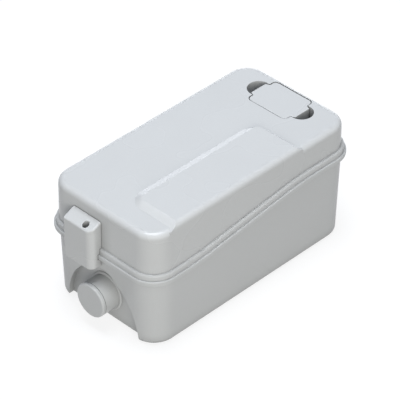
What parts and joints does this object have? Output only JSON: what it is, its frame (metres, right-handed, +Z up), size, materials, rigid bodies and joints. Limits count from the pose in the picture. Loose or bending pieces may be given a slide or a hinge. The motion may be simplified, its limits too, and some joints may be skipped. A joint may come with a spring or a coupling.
{
  "type": "sewage lifting unit",
  "caption": "Compact waste-water lifting unit: arched tank with capped inlets, clamped lid, filter cap, submerged pump and motor, level switch, non-return valve.",
  "frame": {"origin": "centre of the tank's flat base, on the floor", "axes": "+Z up, X along the unit with the front end at -X, +Y across the unit, away from the raised panel"},
  "size_m": [0.3465, 0.1789, 0.15],
  "materials": {
    "tank_plastic": "moulded, light grey, satin gloss",
    "lid_plastic": "moulded, pale grey, satin gloss",
    "cap_plastic": "moulded, pale grey",
    "black_rubber": "matt moulded rubber",
    "dark_plastic": "black glass-filled moulding",
    "inner_plastic": "natural grey moulding",
    "carbon": "pressed granules",
    "circuit_board": "lacquered board",
    "motor_aluminium": "die cast",
    "core_steel": "stacked laminations",
    "bright_steel": "turned stainless steel",
    "copper": "enamelled wire"
  },
  "bodies": {
    "unit": {"tank": "tank_plastic", "lid": "lid_plastic", "lid_gasket": "black_rubber", "lid_clamp_front": "lid_plastic", "lid_clamp_rear": "lid_plastic", "clamp_screws": "bright_steel", "equipment_deck": "inner_plastic", "deck_screws": "bright_steel", "pump_volute": "dark_plastic", "suction_strainer": "dark_plastic", "seal_housing": "dark_plastic", "pump_screws": "bright_steel", "shaft_seal": "black_rubber", "lower_bearing": "bright_steel", "upper_bearing": "bright_steel", "motor_housing": "motor_aluminium", "motor_end_cap": "motor_aluminium", "motor_screws": "bright_steel", "motor_stator": "core_steel", "stator_windings": "copper", "run_capacitor": "inner_plastic", "control_box": "inner_plastic", "control_box_cover": "inner_plastic", "control_board": "circuit_board", "relay": "dark_plastic", "terminal_block": "inner_plastic", "cable_gland": "dark_plastic", "gland_insert": "black_rubber", "gland_nut": "dark_plastic", "gland_locknut": "dark_plastic", "level_bell": "dark_plastic", "level_switch_base": "dark_plastic", "level_switch_cover": "inner_plastic", "switch_diaphragm": "black_rubber", "microswitch": "dark_plastic", "discharge_riser": "dark_plastic", "nonreturn_valve_body": "dark_plastic", "valve_cover": "dark_plastic", "valve_screws": "bright_steel", "discharge_spigot": "dark_plastic", "spigot_seal": "black_rubber", "spigot_nut": "dark_plastic"},
    "rotor": {"motor_rotor": "core_steel", "motor_shaft": "bright_steel", "impeller": "dark_plastic", "impeller_nut": "bright_steel"},
    "filter": {"filter_cap": "cap_plastic", "cap_seal": "black_rubber", "filter_cartridge": "dark_plastic", "carbon_block": "carbon"},
    "front_blank": {"inlet_cap_front": "tank_plastic", "inlet_cap_ring_front": "black_rubber"},
    "rear_blank": {"inlet_cap_rear": "tank_plastic", "inlet_cap_ring_rear": "black_rubber"},
    "front_flap": {"inlet_flap_front": "black_rubber"},
    "rear_flap": {"inlet_flap_rear": "black_rubber"},
    "valve_flap": {"nonreturn_flap": "black_rubber"},
    "plunger": {"switch_plunger": "inner_plastic"}
  },
  "joints": [
    {"name": "rotor_spin", "type": "hinge", "parent": "unit", "child": "rotor", "pos_m": [-0.02, 0, 0.06], "axis": [0, 0, 1], "continuous": true},
    {"name": "filter_lift", "type": "slide", "parent": "unit", "child": "filter", "axis": [0, 0, 1], "range_m": [0, 0.06]},
    {"name": "front_blank_pull", "type": "slide", "parent": "unit", "child": "front_blank", "axis": [-1, 0, 0], "range_m": [0, 0.04]},
    {"name": "rear_blank_pull", "type": "slide", "parent": "unit", "child": "rear_blank", "axis": [1, 0, 0], "range_m": [0, 0.04]},
    {"name": "front_flap_swing", "type": "hinge", "parent": "unit", "child": "front_flap", "pos_m": [-0.1305, 0, 0.0578], "axis": [0, -1, 0], "range_deg": [0, 50]},
    {"name": "rear_flap_swing", "type": "hinge", "parent": "unit", "child": "rear_flap", "pos_m": [0.1305, 0, 0.0578], "axis": [0, 1, 0], "range_deg": [0, 50]},
    {"name": "valve_flap_swing", "type": "hinge", "parent": "unit", "child": "valve_flap", "pos_m": [0.0941, 0.035, 0.098], "axis": [0, -1, 0], "range_deg": [0, 70]},
    {"name": "plunger_lift", "type": "slide", "parent": "unit", "child": "plunger", "axis": [0, 0, 1], "range_m": [0, 0.0015]}
  ]
}
